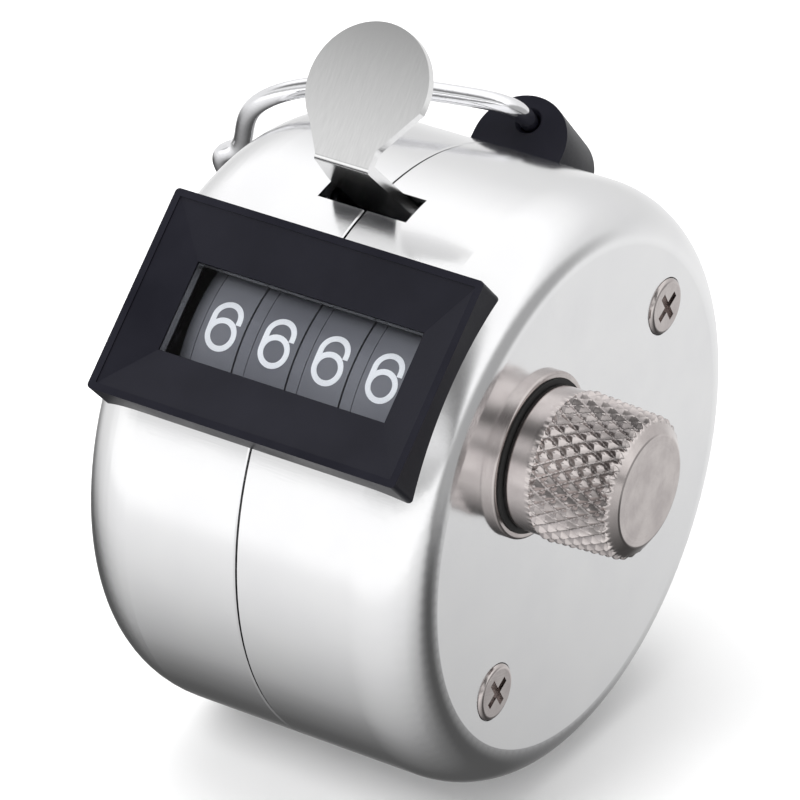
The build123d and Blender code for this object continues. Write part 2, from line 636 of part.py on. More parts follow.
def ring_plane():
    """Plane of the finger ring: own x away from the hinge, own y along it."""
    t, dip = radians(LUG_ANGLE), radians(RING_FOLD)
    out = Vector(0, cos(t), sin(t))
    back = Vector(0, sin(t), -cos(t))
    away = Vector(-cos(dip), 0, 0) - out * sin(dip)
    hinge = out * (BARREL_R + LUG_HOLE_HEIGHT)
    return Plane(origin=hinge + back * RING_CENTRE, x_dir=away, z_dir=away.cross(back))


def finger_ring():
    """Rounded ring of wire whose two ends meet inside the lug."""
    butt = 0.15
    lower = [(0, -RING_STRAIGHT)] + [(x, -y) for x, y in RING_HALF_OUTLINE] + [(RING_LENGTH, 0)]
    upper = [(x, -y) for x, y in reversed(lower)]
    split = (LUG_FRONT + LUG_REAR) / 2 - RING_CENTRE
    front = Line((0, split - butt), lower[0])
    near = Spline(*lower, tangents=[(0, -1), (0, 1)])
    far = Spline(*upper, tangents=[(0, 1), (0, -1)])
    rear = Line(upper[-1], (0, split + butt))
    section = Plane(origin=(0, split - butt, 0), x_dir=(1, 0, 0), z_dir=(0, -1, 0)) * Circle(WIRE_R)
    return ring_plane() * sweep(section, path=Wire([front, near, far, rear]))


# ---- write every node -----------------------------------------------------------------------------
WHEEL_NAMES = ("thousands", "hundreds", "tens", "units")


def main():
    os.makedirs("parts", exist_ok=True)
    save("left_shell", left_shell())
    save("right_shell", right_shell())
    save("case_screws", case_screws())
    save("window_bezel", bezel())
    save("window_lens", window_lens())
    save("gear_shield", gear_shield())
    save("frame_plate_left", side_plate(-PLATE_INNER - PLATE, SHAFT_R + RUN, POST_R + 0.04))
    save("frame_plate_right", side_plate(PLATE_INNER, SHAFT_R_KNOB + RUN, SCREW_R + 0.1))
    save("frame_spacer_rods", spacer_rods())
    for index, name in enumerate(WHEEL_NAMES):
        save(f"{name}_wheel", number_wheel(index))
        save(f"{name}_reset_click", reset_click(index))
    for index, name in enumerate(WHEEL_NAMES[:-1]):
        save(f"transfer_pinion_{name}", transfer_pinion(index))
    save("pinion_shaft", rod(PINION_AXIS, -12, 12, PINION_SHAFT_R))
    save("pinion_spacers", pinion_spacers())
    save("wheel_spacers", wheel_spacers())
    save("ratchet_wheel", ratchet_wheel())
    save("holding_pawl", holding_pawl())
    save("detent_comb", detent_comb())
    save("reset_shaft", reset_shaft())
    save("reset_knob", reset_knob())
    save("knob_grub_screw", knob_grub_screw())
    save("knob_collar", knob_collar())
    save("collar_nut", collar_nut())
    save("knob_seal", knob_seal())
    save("shaft_clip", shaft_clip())
    save("thumb_lever", thumb_lever())
    save("lever_shaft", rod(LEVER_PIVOT, -12, 12, LEVER_SHAFT_R))
    save("lever_spring", lever_spring())
    save("drive_pawl", drive_pawl())
    save("pawl_pin", pawl_pin())
    save("pawl_spring", pawl_spring())
    save("ring_lug", ring_lug())
    save("finger_ring", finger_ring())


main()
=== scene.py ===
import json
import math
import bmesh
import bpy
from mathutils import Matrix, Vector


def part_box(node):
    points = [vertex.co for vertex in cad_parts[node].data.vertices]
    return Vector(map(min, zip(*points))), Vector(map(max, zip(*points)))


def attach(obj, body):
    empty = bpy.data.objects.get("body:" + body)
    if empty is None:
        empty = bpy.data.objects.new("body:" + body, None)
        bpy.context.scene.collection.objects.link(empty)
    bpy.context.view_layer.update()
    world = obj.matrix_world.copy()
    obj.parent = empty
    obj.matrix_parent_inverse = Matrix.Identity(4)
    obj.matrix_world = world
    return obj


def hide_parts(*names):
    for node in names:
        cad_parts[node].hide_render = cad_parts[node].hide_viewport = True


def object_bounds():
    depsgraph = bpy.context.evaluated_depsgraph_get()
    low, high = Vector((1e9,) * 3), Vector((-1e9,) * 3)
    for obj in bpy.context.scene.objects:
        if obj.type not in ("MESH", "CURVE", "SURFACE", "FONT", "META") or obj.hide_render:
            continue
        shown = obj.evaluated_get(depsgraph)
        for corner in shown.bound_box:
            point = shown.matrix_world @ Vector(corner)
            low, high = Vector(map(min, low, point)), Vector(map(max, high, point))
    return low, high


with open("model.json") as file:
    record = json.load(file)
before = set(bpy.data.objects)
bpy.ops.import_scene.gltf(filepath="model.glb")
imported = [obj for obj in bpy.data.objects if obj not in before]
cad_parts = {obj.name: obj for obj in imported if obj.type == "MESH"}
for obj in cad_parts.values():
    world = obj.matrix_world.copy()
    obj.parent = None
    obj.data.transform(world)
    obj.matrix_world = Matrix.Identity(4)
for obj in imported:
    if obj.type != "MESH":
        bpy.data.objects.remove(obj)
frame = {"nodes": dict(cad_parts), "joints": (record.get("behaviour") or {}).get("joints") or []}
NODES = frame["nodes"]
cad_lo, cad_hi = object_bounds()

MM = 0.001

# ---- places, in millimetres, all from the frame's own nodes --------------------------------------
SPINS = {j["name"]: j for j in frame["joints"]}
WHEEL_AXIS = [v / MM for v in SPINS["units_spin"]["pos_m"]]
WINDOW_ANGLE = math.degrees(math.atan2(WHEEL_AXIS[2], WHEEL_AXIS[1]))
NORMAL = Vector((0, math.cos(math.radians(WINDOW_ANGLE)), math.sin(math.radians(WINDOW_ANGLE))))
SHOWN_DIGIT = 6
DIGIT_STEP = 36.0

WHEELS = ("thousands", "hundreds", "tens", "units")

# ---- thumb plate, in millimetres -----------------------------------------------------------------
lever_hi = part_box("thumb_lever")[1]
PLATE_REACH = 3.65         # plate's height above and below its middle
PLATE_MARGIN = 0.25        # rounded edge above the crowned part
PLATE_MIDDLE = lever_hi.z / MM - PLATE_REACH - PLATE_MARGIN
PLATE_CROWN = 0.14         # how far the middle stands above the top and the foot

# ---- numeral strokes, in millimetres on the wheel's surface --------------------------------------
HALF_W = 1.04              # stroke centre line to the numeral's middle
HALF_H = 1.66
STROKE = 0.21              # half the stroke's width
STROKE_STEP = 0.35         # longest step along a stroke
MITRE_LIMIT = 1.9          # widest a stroke gets at a sharp corner, times its own width
NUMERAL_DROP = 0.4         # numerals sit this far below the middle of the window
NUMERAL_PROUD = 0.03
NUMERAL_SUNK = 0.05

# ---- reset knob, in millimetres ------------------------------------------------------------------
NECK_LENGTH = 2.1
NECK_INSET = 0.25          # neck below the knurled drum's largest radius
NECK_BEVEL = 0.08          # broken edge at the neck's back
NECK_GAP = 0.06            # from the neck's last ring to the drum
NECK_STEPS = 5
DRUM_STEP = 0.05           # drum's first edge above the neck
DRUM_RISE = 1.2            # slope of the drum's first chamfer
RIM_INSET = 0.33           # end rim below the largest radius, the drum being slightly tapered
CHAMFER = 0.75
CHAMFER_DROP = 1.12
FACE_EDGE = 0.12           # end face's ring of mesh inside its edge
BORE_R, BORE_END = 1.9, 21.0
KNURLS = 32                # diamonds round the drum
KNURL_LENGTH = 1.72        # one diamond along the knob
KNURL_DEPTH = 0.4
KNURL_LIFT = 1.15          # above 1, it flattens the diamonds' points
KNURL_SAMPLES = 14         # mesh columns in one diamond
KNURL_RINGS = 84           # mesh rings along the drum
KNURL_EDGE = 50            # degrees between faces at a sharp edge

# ---- camera and studio, in millimetres -----------------------------------------------------------
LENS, SENSOR = 249.5, 36.0
CAMERA_PLACE = (189.925, -292.244, 202.269)
CAMERA_AWAY = (0.47508, -0.72735, 0.49524)      # from the counter to the camera
FLOOR_HALF = 3000.0
FLOOR_GAP = 0.05           # below the lowest piece


def arc(cx, cy, rx, ry, start, end, steps=18):
    """Points along part of an ellipse, from one angle to another in degrees."""
    angles = [math.radians(start + (end - start) * k / steps) for k in range(steps + 1)]
    return [(cx + rx * math.cos(a), cy + ry * math.sin(a)) for a in angles]


def glyph_strokes(digit):
    """Centre lines of one numeral as a list of (points, closed)."""
    w, h = HALF_W, HALF_H
    top, low = h - w, w - h
    if digit == 0:
        return [(arc(0, top, w, w, 0, 180) + arc(0, low, w, w, 180, 360), True)]
    if digit == 1:
        return [([(-0.5 * w, h * 0.62), (0.2 * w, h), (0.2 * w, -h)], False)]
    if digit == 2:
        return [(arc(0, top, w, w, 170, -35) + [(-w, -h), (w, -h)], False)]
    if digit == 3:
        return [(arc(0, h * 0.52, w * 0.9, h * 0.48, 150, -90), False),
                (arc(0, -h * 0.48, w, h * 0.52, 90, -150), False)]
    if digit == 4:
        return [([(w, -h * 0.42), (-w, -h * 0.42), (w * 0.4, h), (w * 0.4, -h)], False)]
    if digit == 5:
        return [([(w * 0.9, h), (-w * 0.8, h), (-w * 0.9, h * 0.1)]
                 + arc(0, low, w, w, 135, -150), False)]
    if digit == 6:
        hook = [(w, top - 0.3)] + arc(0, top, w, w, 0, 180) + [(-w, low)]
        return [(hook, False), (arc(0, low, w, w, 0, 360, 28)[:-1], True)]
    if digit == 7:
        return [([(-w, h), (w, h), (-w * 0.25, -h)], False)]
    if digit == 8:
        return [(arc(0, h * 0.52, w * 0.86, h * 0.48, 0, 360, 28)[:-1], True),
                (arc(0, -h * 0.48, w, h * 0.52, 0, 360, 28)[:-1], True)]
    return [([(-x, -y) for x, y in points], closed) for points, closed in glyph_strokes(6)]


def subdivided(points, closed):
    """The same stroke in short steps, so that it follows the wheel's curve."""
    ends = points + points[:1] if closed else points
    fine = []
    for (x0, y0), (x1, y1) in zip(ends, ends[1:]):
        steps = max(1, math.ceil(math.hypot(x1 - x0, y1 - y0) / STROKE_STEP))
        fine += [(x0 + (x1 - x0) * k / steps, y0 + (y1 - y0) * k / steps) for k in range(steps)]
    return fine if closed else fine + [points[-1]]


def ribbon_edges(points, closed):
    """Left and right outline of a stroke, mitred at its corners."""
    count = len(points)
    left, right = [], []
    for i, (x, y) in enumerate(points):
        before = points[(i - 1) % count] if closed or i > 0 else None
        after = points[(i + 1) % count] if closed or i < count - 1 else None
        tangents = []
        if before is not None:
            tangents.append(Vector((x - before[0], y - before[1])).normalized())
        if after is not None:
            tangents.append(Vector((after[0] - x, after[1] - y)).normalized())
        middle = sum(tangents, Vector((0, 0))).normalized()
        spread = 1 / max(abs(middle.dot(tangents[0])), 1 / MITRE_LIMIT)
        side = Vector((-middle.y, middle.x)) * STROKE * spread
        left.append((x + side.x, y + side.y))
        right.append((x - side.x, y - side.y))
    return left, right


def new_object(name, verts, faces, material, smooth=False):
    """An object from vertices in millimetres."""
    mesh = bpy.data.meshes.new(name)
    mesh.from_pydata([Vector(v) * MM for v in verts], [], faces)
    mesh.validate()
    mesh.update()
    mesh.materials.append(material)
    for polygon in mesh.polygons:
        polygon.use_smooth = smooth
    piece = bpy.data.objects.new(name, mesh)
    bpy.context.scene.collection.objects.link(piece)
    return piece


def stroke_solid(points, closed, on_rim, first):
    """Vertices and faces of one stroke, raised top and sunk foot. Its first vertex is number first."""
    left, right = ribbon_edges(points, closed)
    verts = [on_rim(u, v, level) for level in (NUMERAL_PROUD, -NUMERAL_SUNK) for u, v in left + right]
    count = len(points)
    tl, tr, bl, br = (first + count * k for k in range(4))
    faces = []
    for i in range(count if closed else count - 1):
        j = (i + 1) % count
        faces += [(tl + i, tr + i, tr + j, tl + j), (bl + i, bl + j, br + j, br + i),
                  (tl + i, tl + j, bl + j, bl + i), (tr + i, br + i, br + j, tr + j)]
    if not closed:
        e = count - 1
        faces += [(tl, bl, br, tr), (tl + e, tr + e, br + e, bl + e)]
    return verts, faces


def numerals(name, material):
    """All ten numerals of one wheel as thin raised solids on its rim."""
    lo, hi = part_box(name + "_wheel")
    radius = (hi.z - lo.z) / 2 / MM
    centre_x = rim_centre(name)
    verts, faces = [], []
    for digit in range(10):
        base = math.radians(WINDOW_ANGLE - DIGIT_STEP * (digit - SHOWN_DIGIT))

        def on_rim(u, v, level):
            a = base - (v - NUMERAL_DROP) / radius
            r = radius + level
            return centre_x + u, WHEEL_AXIS[1] + r * math.cos(a), WHEEL_AXIS[2] + r * math.sin(a)

        for stroke, closed in glyph_strokes(digit):
            solid = stroke_solid(subdivided(stroke, closed), closed, on_rim, len(verts))
            verts += solid[0]
            faces += solid[1]
    piece = new_object(name + "_numerals", verts, faces, material)
    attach(piece, name)
    return piece


def rim_centre(name):
    """Middle of a wheel's rim along the barrel: the vertices at its full radius."""
    lo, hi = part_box(name + "_wheel")
    radius = (hi.z - lo.z) / 2 / MM
    xs = [v.co.x / MM for v in NODES[name + "_wheel"].data.vertices
          if math.hypot(v.co.y / MM - WHEEL_AXIS[1], v.co.z / MM - WHEEL_AXIS[2]) > radius - 0.02]
    return (min(xs) + max(xs)) / 2


def knurl_height(turn, along):
    """0 at the bottom of a groove to 1 at a diamond's point."""
    def ramp(t):
        return 1 - abs(2 * (t % 1.0) - 1)
    across = min(ramp(turn + along / 2), ramp(turn - along / 2))
    return min(across * KNURL_LIFT, 1.0)


def knob_rings(back, tip, drum_r):
    """Half outline of the knob as (x, radius, knurl base). The base is None on smooth turned parts."""
    drum_start, neck_r, rim_r = back + NECK_LENGTH, drum_r - NECK_INSET, drum_r - RIM_INSET
    face_r, rim = rim_r - CHAMFER_DROP, tip - CHAMFER
    neck = NECK_LENGTH - NECK_BEVEL - NECK_GAP
    rings = [(BORE_END, BORE_R, None), (back, BORE_R, None), (back, neck_r - NECK_BEVEL, None)]
    rings += [(back + NECK_BEVEL + neck * k / NECK_STEPS, neck_r, None) for k in range(NECK_STEPS + 1)]
    for k in range(KNURL_RINGS + 1):
        x = drum_start + (tip - drum_start) * k / KNURL_RINGS
        taper = drum_r + (rim_r - drum_r) * min((x - drum_start) / (rim - drum_start), 1)
        first_chamfer = neck_r + DRUM_STEP + (x - drum_start) * DRUM_RISE
        end_chamfer = face_r + (tip - x) * CHAMFER_DROP / CHAMFER
        rings.append((x, min(taper, first_chamfer, end_chamfer), taper))
    return rings + [(tip, face_r - FACE_EDGE, None), (tip, face_r / 2, None)]


def knob_point(ring, column, columns, back):
    """One mesh vertex of the knob, cut down to the knurl where its ring has one."""
    x, radius, base = ring
    if base is not None:
        h = knurl_height(column / KNURL_SAMPLES, (x - back) / KNURL_LENGTH * 2)
        radius = min(radius, base - KNURL_DEPTH * (1 - h))
    a = 2 * math.pi * column / columns
    return x, WHEEL_AXIS[1] + radius * math.cos(a), WHEEL_AXIS[2] + radius * math.sin(a)


def knob_mesh(material):
    """Polished neck, diamond-knurled drum cut by smooth chamfers, flat end face."""
    lo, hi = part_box("reset_knob")
    back, tip = lo.x / MM, hi.x / MM
    columns = KNURLS * KNURL_SAMPLES
    rings = knob_rings(back, tip, (hi.z - lo.z) / 2 / MM)
    verts = [knob_point(ring, c, columns, back) for ring in rings for c in range(columns)]
    faces = []
    for k in range(len(rings) - 1):
        for c in range(columns):
            d = (c + 1) % columns
            faces.append((k * columns + c, (k + 1) * columns + c,
                          (k + 1) * columns + d, k * columns + d))
    for ring, x in ((0, BORE_END), (len(rings) - 1, tip)):
        verts.append((x, WHEEL_AXIS[1], WHEEL_AXIS[2]))
        for c in range(columns):
            d = (c + 1) % columns
            pair = (ring * columns + c, ring * columns + d)
            faces.append((*(pair if ring else pair[::-1]), len(verts) - 1))
    piece = new_object("knurled_reset_knob", verts, faces, material, smooth=True)
    fix_normals(piece)
    piece.data.set_sharp_from_angle(angle=math.radians(KNURL_EDGE))
    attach(piece, "reset")
    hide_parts("reset_knob")
    return piece


def fix_normals(piece):
    """Turns every face outwards."""
    bm = bmesh.new()
    bm.from_mesh(piece.data)
    bmesh.ops.recalc_face_normals(bm, faces=bm.faces)
    bm.to_mesh(piece.data)
    bm.free()


# ---- material helpers ----------------------------------------------------------------------------
class Shader:
    """A material's node tree, with short calls for the nodes used here."""

    def __init__(self, name):
        self.material = bpy.data.materials.new(name)
        self.material.use_nodes = True
        self.tree = self.material.node_tree
        self.tree.nodes.clear()
        self.output = self.tree.nodes.new("ShaderNodeOutputMaterial")
        self.place = self.tree.nodes.new("ShaderNodeTexCoord").outputs["Object"]

    def node(self, kind, **settings):
        """A new node with its settings."""
        made = self.tree.nodes.new(kind)
        for key, value in settings.items():
            setattr(made, key, value)
        return made

    def join(self, source, target):
        """Links a socket to an input, or sets the input to a value."""
        if isinstance(source, bpy.types.NodeSocket):
            self.tree.links.new(source, target)
        else:
            target.default_value = source

    def coords(self, per_mm=(1, 1, 1), turn=(0, 0, 0)):
        """The piece's own coordinates, in millimetres times per_mm, turned by degrees."""
        mapping = self.node("ShaderNodeMapping", vector_type="POINT")
        self.join(self.place, mapping.inputs["Vector"])
        mapping.inputs["Rotation"].default_value = [math.radians(a) for a in turn]
        mapping.inputs["Scale"].default_value = [s / MM for s in per_mm]
        return mapping.outputs["Vector"]

    def noise(self, per_mm, detail=4.0, rough=0.55, turn=(0, 0, 0)):
        """Noise with per_mm features in each millimetre along x, y and z."""
        made = self.node("ShaderNodeTexNoise")
        self.join(self.coords(per_mm, turn), made.inputs["Vector"])
        made.inputs["Scale"].default_value = 1.0
        made.inputs["Detail"].default_value = detail
        made.inputs["Roughness"].default_value = rough
        return made.outputs["Fac"]

    def fit(self, value, low, high, to_low, to_high):
        """The value moved from one range to another, and clamped to it."""
        made = self.node("ShaderNodeMapRange", clamp=True)
        for socket, number in zip(("Value", "From Min", "From Max", "To Min", "To Max"),
                                  (value, low, high, to_low, to_high)):
            self.join(number, made.inputs[socket])
        return made.outputs["Result"]

    def blend(self, factor, a, b):
        """Colour a at factor 0 to colour b at factor 1."""
        made = self.node("ShaderNodeMix", data_type="RGBA")
        self.join(factor, made.inputs["Factor"])
        for socket, value in zip([s for s in made.inputs if s.type == "RGBA"], (a, b)):
            self.join((*value, 1) if isinstance(value, tuple) else value, socket)
        return [s for s in made.outputs if s.type == "RGBA"][0]

    def maths(self, operation, a, b=0.0):
        """One arithmetic node."""
        made = self.node("ShaderNodeMath", operation=operation)
        self.join(a, made.inputs[0])
        self.join(b, made.inputs[1])
        return made.outputs[0]

    def bump(self, height, distance_mm, strength=1.0, normal=None):
        """Surface relief from a height, on top of another relief if one is given."""
        made = self.node("ShaderNodeBump")
        made.inputs["Strength"].default_value = strength
        made.inputs["Distance"].default_value = distance_mm * MM
        self.join(height, made.inputs["Height"])
        if normal is not None:
            self.join(normal, made.inputs["Normal"])
        return made.outputs["Normal"]

    def principled(self, colour, rough, normal=None, metallic=0.0, specular=0.5):
        """The surface itself, joined to the output."""
        made = self.node("ShaderNodeBsdfPrincipled")
        self.join((*colour, 1) if isinstance(colour, tuple) else colour, made.inputs["Base Color"])
        self.join(rough, made.inputs["Roughness"])
        made.inputs["Metallic"].default_value = metallic
        made.inputs["Specular IOR Level"].default_value = specular
        if normal is not None:
            self.join(normal, made.inputs["Normal"])
        self.join(made.outputs["BSDF"], self.output.inputs["Surface"])


def plated_metal(name, bright, dull, rough, cloud=0.18):
    """Plated or polished metal: cloudy haze and hairline scratches."""
    s = Shader(name)
    haze = s.noise((cloud, cloud, cloud), 3)
    fine = s.noise((3.1, 3.1, 3.1), 5)
    hair = s.noise((0.35, 7.0, 7.0), 3, turn=(0, 24, 11))
    lines = s.fit(hair, 0.62, 0.72, 0.0, 1.0)
    tone = s.blend(s.fit(haze, 0.35, 0.65, 0.0, 1.0), bright, dull)
    gloss = s.maths("ADD", s.fit(haze, 0.3, 0.7, *rough), s.fit(fine, 0.4, 0.75, 0.0, 0.03))
    gloss = s.maths("ADD", gloss, s.maths("MULTIPLY", lines, 0.06))
    s.principled(tone, gloss, s.bump(hair, 0.004, 0.35), metallic=1.0)
    return s.material


def brushed_metal(name, bright, dull, grain):
    """Sheet metal with long fine brushing along one direction."""
    s = Shader(name)
    brush = s.noise(grain, 6, 0.7)
    haze = s.noise((0.25, 0.25, 0.25), 3)
    tone = s.blend(s.fit(brush, 0.3, 0.7, 0.0, 1.0), bright, dull)
    gloss = s.maths("ADD", s.fit(brush, 0.3, 0.7, 0.26, 0.38), s.fit(haze, 0.4, 0.7, 0.0, 0.05))
    s.principled(tone, gloss, s.bump(brush, 0.01, 0.5), metallic=1.0)
    return s.material


def satin_sheet(name, bright, dull):
    """Satin pressed sheet: very fine grain, and a thumb plate slightly crowned from top to foot."""
    s = Shader(name)
    split = s.node("ShaderNodeSeparateXYZ")
    s.join(s.coords(), split.inputs[0])
    rise = s.maths("SUBTRACT", split.outputs["Z"], PLATE_MIDDLE)
    crown = s.maths("MULTIPLY", s.maths("MULTIPLY", rise, rise), -PLATE_CROWN / PLATE_REACH ** 2)
    grain = s.noise((9.0, 0.8, 0.8), 5, 0.65)
    tone = s.blend(s.fit(grain, 0.3, 0.7, 0.0, 1.0), bright, dull)
    normal = s.bump(grain, 0.002, 0.4, s.bump(crown, 1.0))
    s.principled(tone, s.fit(grain, 0.3, 0.7, 0.2, 0.25), normal, metallic=1.0)
    return s.material


def moulded_plastic(name, colour, other, rough=(0.34, 0.48), specular=0.5):
    """Moulded plastic: fine spark-eroded grain, uneven gloss, slight colour drift."""
    s = Shader(name)
    speck = s.noise((6.0, 6.0, 6.0), 4, 0.6)
    drift = s.noise((0.16, 0.16, 0.16), 3)
    tone = s.blend(s.fit(drift, 0.35, 0.65, 0.0, 1.0), colour, other)
    gloss = s.maths("ADD", s.fit(drift, 0.3, 0.7, *rough), s.fit(speck, 0.4, 0.7, 0.0, 0.06))
    s.principled(tone, gloss, s.bump(speck, 0.006, 0.6), specular=specular)
    return s.material


def groove_painted_shade(s, x, radius, groove):
    """How much painted shade the knurl's grooves get: strongest at the bottom of the knurl, none outside
    the knurled stretch.
    """
    start, end, deep, shallow = groove
    inside = s.maths("MULTIPLY", s.maths("GREATER_THAN", x, start), s.maths("LESS_THAN", x, end))
    return s.maths("MULTIPLY", inside, s.fit(radius, deep, shallow, 0.6, 0.0))


def turned_metal(name, bright, dull, rough=(0.16, 0.3), groove=None):
    """Lathe-turned metal about the wheel axis: fine rings, and painted shade in the knurl's grooves."""
    rings_per_mm = 9.0
    s = Shader(name)
    split = s.node("ShaderNodeSeparateXYZ")
    s.join(s.coords(), split.inputs[0])
    x = split.outputs["X"]
    y = s.maths("SUBTRACT", split.outputs["Y"], WHEEL_AXIS[1])
    z = s.maths("SUBTRACT", split.outputs["Z"], WHEEL_AXIS[2])
    radius = s.maths("SQRT", s.maths("ADD", s.maths("MULTIPLY", y, y), s.maths("MULTIPLY", z, z)))
    spread = s.maths("ADD", s.maths("MULTIPLY", radius, rings_per_mm),
                     s.maths("MULTIPLY", x, rings_per_mm))
    rings = s.node("ShaderNodeTexNoise", noise_dimensions="1D")
    s.join(spread, rings.inputs["W"])
    rings.inputs["Scale"].default_value = 1.0
    rings.inputs["Detail"].default_value = 3.0
    ring = rings.outputs["Fac"]
    haze = s.noise((0.5, 0.5, 0.5), 4)
    tone = s.blend(s.fit(haze, 0.35, 0.65, 0.0, 1.0), bright, dull)
    if groove:
        # painted shade: a dark colour mixed into the knurl's grooves, deepest at their bottom
        tone = s.blend(groove_painted_shade(s, x, radius, groove), tone, (0.06, 0.055, 0.055))
    gloss = s.maths("ADD", s.fit(ring, 0.3, 0.7, *rough), s.fit(haze, 0.4, 0.7, 0.0, 0.05))
    s.principled(tone, gloss, s.bump(ring, 0.004, 0.4), metallic=1.0)
    return s.material


def mixed_shader(s, factor, first, second):
    """Shader output of first at factor 0 to second at factor 1."""
    made = s.node("ShaderNodeMixShader")
    for source, socket in zip((factor, first, second), made.inputs):
        s.join(source, socket)
    return made.outputs[0]


def clear_window(name):
    """Clear acrylic seen through without bending: Fresnel gloss on its face, paler cut edges."""
    s = Shader(name)
    clear = s.node("ShaderNodeBsdfTransparent")
    clear.inputs["Color"].default_value = (0.93, 0.94, 0.95, 1)
    gloss = s.node("ShaderNodeBsdfGlossy")
    haze = s.noise((0.6, 0.6, 0.6), 4)
    s.join(s.fit(haze, 0.3, 0.7, 0.03, 0.09), gloss.inputs["Roughness"])
    fresnel = s.node("ShaderNodeFresnel")
    fresnel.inputs["IOR"].default_value = 1.3
    face = mixed_shader(s, fresnel.outputs[0], clear.outputs[0], gloss.outputs[0])
    edge = s.node("ShaderNodeBsdfDiffuse")
    s.join(s.blend(haze, (0.16, 0.165, 0.18), (0.24, 0.245, 0.26)), edge.inputs["Color"])
    geometry = s.node("ShaderNodeNewGeometry")
    dot = s.node("ShaderNodeVectorMath", operation="DOT_PRODUCT")
    s.join(geometry.outputs["Normal"], dot.inputs[0])
    dot.inputs[1].default_value = NORMAL
    off_face = s.fit(s.maths("ABSOLUTE", dot.outputs["Value"]), 0.5, 0.9, 0.55, 0.0)
    s.join(mixed_shader(s, off_face, face, edge.outputs[0]), s.output.inputs["Surface"])
    return s.material


def pale_floor(name):
    """Plain matt floor."""
    s = Shader(name)
    drift = s.noise((0.004, 0.004, 0.004), 3)
    s.principled(s.blend(drift, (0.86, 0.86, 0.86), (0.9, 0.9, 0.9)), 0.7, specular=0.1)
    return s.material


def knurled_nickel():
    """Bright turned nickel, with painted shade darkening the knurl's grooves."""
    lo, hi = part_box("reset_knob")
    rim_r = (hi.z - lo.z) / 2 / MM - RIM_INSET
    drum = (lo.x / MM + NECK_LENGTH, hi.x / MM - CHAMFER)
    return turned_metal("knurled_nickel", (0.64, 0.59, 0.575), (0.53, 0.485, 0.475), (0.1, 0.18),
                        groove=(*drum, rim_r - KNURL_DEPTH, rim_r))


MATERIALS = {
    "chrome_case": plated_metal("chrome_case", (0.86, 0.86, 0.865), (0.84, 0.84, 0.85), (0.14, 0.165)),
    "black_plastic": moulded_plastic("black_plastic", (0.005, 0.005, 0.009), (0.008, 0.008, 0.013),
                                     specular=0.22),
    "clear_lens": clear_window("clear_lens"),
    "bright_nickel": turned_metal("bright_nickel", (0.6, 0.555, 0.54), (0.5, 0.455, 0.445), (0.12, 0.2)),
    "satin_steel": satin_sheet("satin_steel", (0.88, 0.88, 0.88), (0.83, 0.83, 0.83)),
    "wire_chrome": plated_metal("wire_chrome", (0.93, 0.93, 0.95), (0.88, 0.88, 0.9), (0.05, 0.1),
                                cloud=0.6),
    "wheel_grey": moulded_plastic("wheel_grey", (0.16, 0.16, 0.18), (0.2, 0.2, 0.22), (0.4, 0.55)),
    "zinc_steel": plated_metal("zinc_steel", (0.62, 0.62, 0.6), (0.5, 0.51, 0.5), (0.25, 0.42),
                               cloud=1.2),
    "brass": turned_metal("brass", (0.75, 0.56, 0.27), (0.66, 0.47, 0.2)),
    "white_acetal": moulded_plastic("white_acetal", (0.82, 0.82, 0.78), (0.76, 0.75, 0.7), (0.3, 0.4)),
    "spring_steel": brushed_metal("spring_steel", (0.45, 0.46, 0.5), (0.3, 0.3, 0.33), (0.4, 6.0, 6.0)),
    "seal_rubber": moulded_plastic("seal_rubber", (0.012, 0.012, 0.012), (0.02, 0.02, 0.02), (0.6, 0.8)),
}


def dress_nodes():
    """Gives every CAD node the material that its slot names."""
    for piece in NODES.values():
        for slot in piece.material_slots:
            slot.material = MATERIALS[slot.material.name.split(".")[0]]


# ---- studio --------------------------------------------------------------------------------------
# Brightness of the surround by angle about the barrel's axis: 0 is behind, 90 overhead, 180 in front.
SURROUND = ((-180, 1.2), (-162, 1.2), (-154, 0.98), (-146, 0.92), (-130, 0.77), (-114, 0.58),
            (-98, 0.4), (-90, 0.27), (-80, 0.17), (-66, 0.09), (-54, 0.09), (-42, 0.25), (-34, 0.85),
            (-24, 0.95), (0, 0.78), (22, 0.85), (38, 1.05), (48, 1.2), (84, 1.15), (100, 0.4),
            (112, 0.2), (121, 0.25), (129, 0.6), (141, 0.95), (150, 0.75), (158, 0.5), (164, 0.6),
            (172, 1.2), (180, 1.2))
# Soft flats over it: direction, stretch, inner and outer reach, brightness.
FLATS = (((-1.0, 0.0, 0.1), (1, 1, 1), 0.25, 0.75, 0.85),
         ((0.88, 0.42, -0.08), (1, 0.95, 1.6), 0.3, 0.64, 0.42))
SKY_STRENGTH = 1.0


def world_node(tree, kind, inputs, **settings):
    """A new node of the world with its inputs linked or set."""
    made = tree.nodes.new(kind)
    for key, value in settings.items():
        setattr(made, key, value)
    for socket, value in inputs.items():
        if isinstance(value, bpy.types.NodeSocket):
            tree.links.new(value, made.inputs[socket])
        else:
            made.inputs[socket].default_value = value
    return made


def surround(tree, direction):
    """Grey level of SURROUND in a direction."""
    split = world_node(tree, "ShaderNodeSeparateXYZ", {0: direction})
    angle = world_node(tree, "ShaderNodeMath", {0: split.outputs["Z"], 1: split.outputs["Y"]},
                       operation="ARCTAN2")
    share = world_node(tree, "ShaderNodeMapRange",
                       {"Value": angle.outputs[0], "From Min": -math.pi, "From Max": math.pi})
    ramp = world_node(tree, "ShaderNodeValToRGB", {0: share.outputs[0]})
    elements = ramp.color_ramp.elements
    elements.remove(elements[1])
    elements[0].color = (*[SURROUND[0][1]] * 3, 1)
    for degrees, level in SURROUND[1:]:
        elements.new((degrees + 180) / 360).color = (level, level, level, 1)
    return ramp.outputs[0]


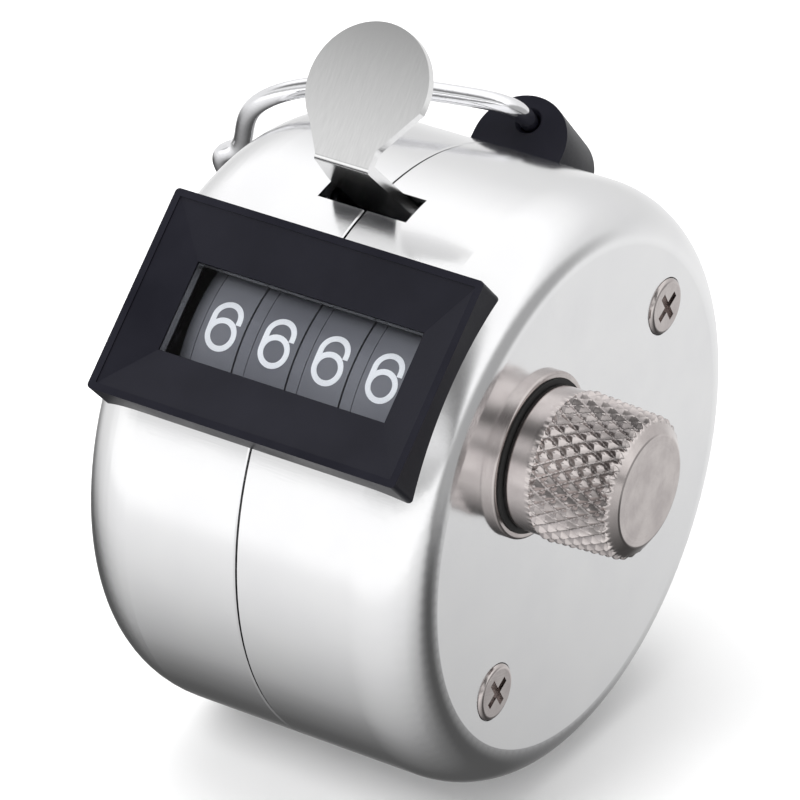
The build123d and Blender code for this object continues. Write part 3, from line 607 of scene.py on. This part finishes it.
def with_flat(tree, direction, level, flat):
    """The level with one soft flat laid over it."""
    centre, stretch, inner, outer, brightness = flat
    away = world_node(tree, "ShaderNodeVectorMath", {0: direction, 1: Vector(centre).normalized()},
                      operation="SUBTRACT")
    scaled = world_node(tree, "ShaderNodeVectorMath", {0: away.outputs[0], 1: stretch},
                        operation="MULTIPLY")
    reach = world_node(tree, "ShaderNodeVectorMath", {0: scaled.outputs[0]}, operation="LENGTH")
    share = world_node(tree, "ShaderNodeMapRange",
                       {"Value": reach.outputs["Value"], "From Min": outer, "From Max": inner},
                       interpolation_type="SMOOTHSTEP")
    mixed = world_node(tree, "ShaderNodeMix",
                       {"Factor": share.outputs[0], 6: level, 7: (*[brightness] * 3, 1)},
                       data_type="RGBA")
    return mixed.outputs[2]


def world_light():
    """Soft studio surround with graded dark and pale flats for the chrome to show."""
    world = bpy.data.worlds.new("studio")
    world.use_nodes = True
    tree = world.node_tree
    tree.nodes.clear()
    direction = world_node(tree, "ShaderNodeTexCoord", {}).outputs["Generated"]
    level = surround(tree, direction)
    for flat in FLATS:
        level = with_flat(tree, direction, level, flat)
    background = world_node(tree, "ShaderNodeBackground", {"Color": level, "Strength": SKY_STRENGTH})
    world_node(tree, "ShaderNodeOutputWorld", {0: background.outputs[0]})
    bpy.context.scene.world = world


def area_light(name, place_mm, size_mm, watts):
    """A softbox that faces the origin and isn't seen itself."""
    light = bpy.data.lights.new(name, "AREA")
    light.shape = "RECTANGLE"
    light.size, light.size_y = size_mm[0] * MM, size_mm[1] * MM
    light.energy = watts
    lamp = bpy.data.objects.new(name, light)
    lamp.location = Vector(place_mm) * MM
    lamp.rotation_mode = "QUATERNION"
    lamp.rotation_quaternion = (-Vector(place_mm)).to_track_quat("-Z", "Y")
    bpy.context.scene.collection.objects.link(lamp)
    lamp.visible_camera = False
    lamp.visible_glossy = False


def studio():
    """Surround, floor and softboxes."""
    world_light()
    lowest = cad_lo.z / MM - FLOOR_GAP
    corners = [(x * FLOOR_HALF, y * FLOOR_HALF, lowest) for x, y in ((-1, -1), (1, -1), (1, 1), (-1, 1))]
    floor = new_object("studio_floor", corners, [(0, 1, 2, 3)], pale_floor("pale_floor"))
    floor.visible_glossy = False
    area_light("overhead_softbox", (-60, 40, 420), (420, 420), 1.5)
    area_light("window_softbox", (-90, -270, 300), (150, 150), 1.0)


def camera():
    """Long lens, from the front right and above."""
    data = bpy.data.cameras.new("photo_camera")
    data.sensor_width = SENSOR
    data.lens = LENS
    cam = bpy.data.objects.new("photo_camera", data)
    cam.location = Vector(CAMERA_PLACE) * MM
    cam.rotation_mode = "QUATERNION"
    cam.rotation_quaternion = (-Vector(CAMERA_AWAY).normalized()).to_track_quat("-Z", "Y")
    data.clip_start, data.clip_end = 0.02, 20
    bpy.context.scene.collection.objects.link(cam)
    bpy.context.scene.camera = cam


def main():
    dress_nodes()
    knob_mesh(knurled_nickel())
    white = moulded_plastic("numeral_white", (0.95, 0.95, 0.97), (0.91, 0.91, 0.93), (0.4, 0.5))
    for name in WHEELS:
        numerals(name, white)
    studio()
    camera()
    bpy.context.scene.view_settings.view_transform = "Standard"


main()
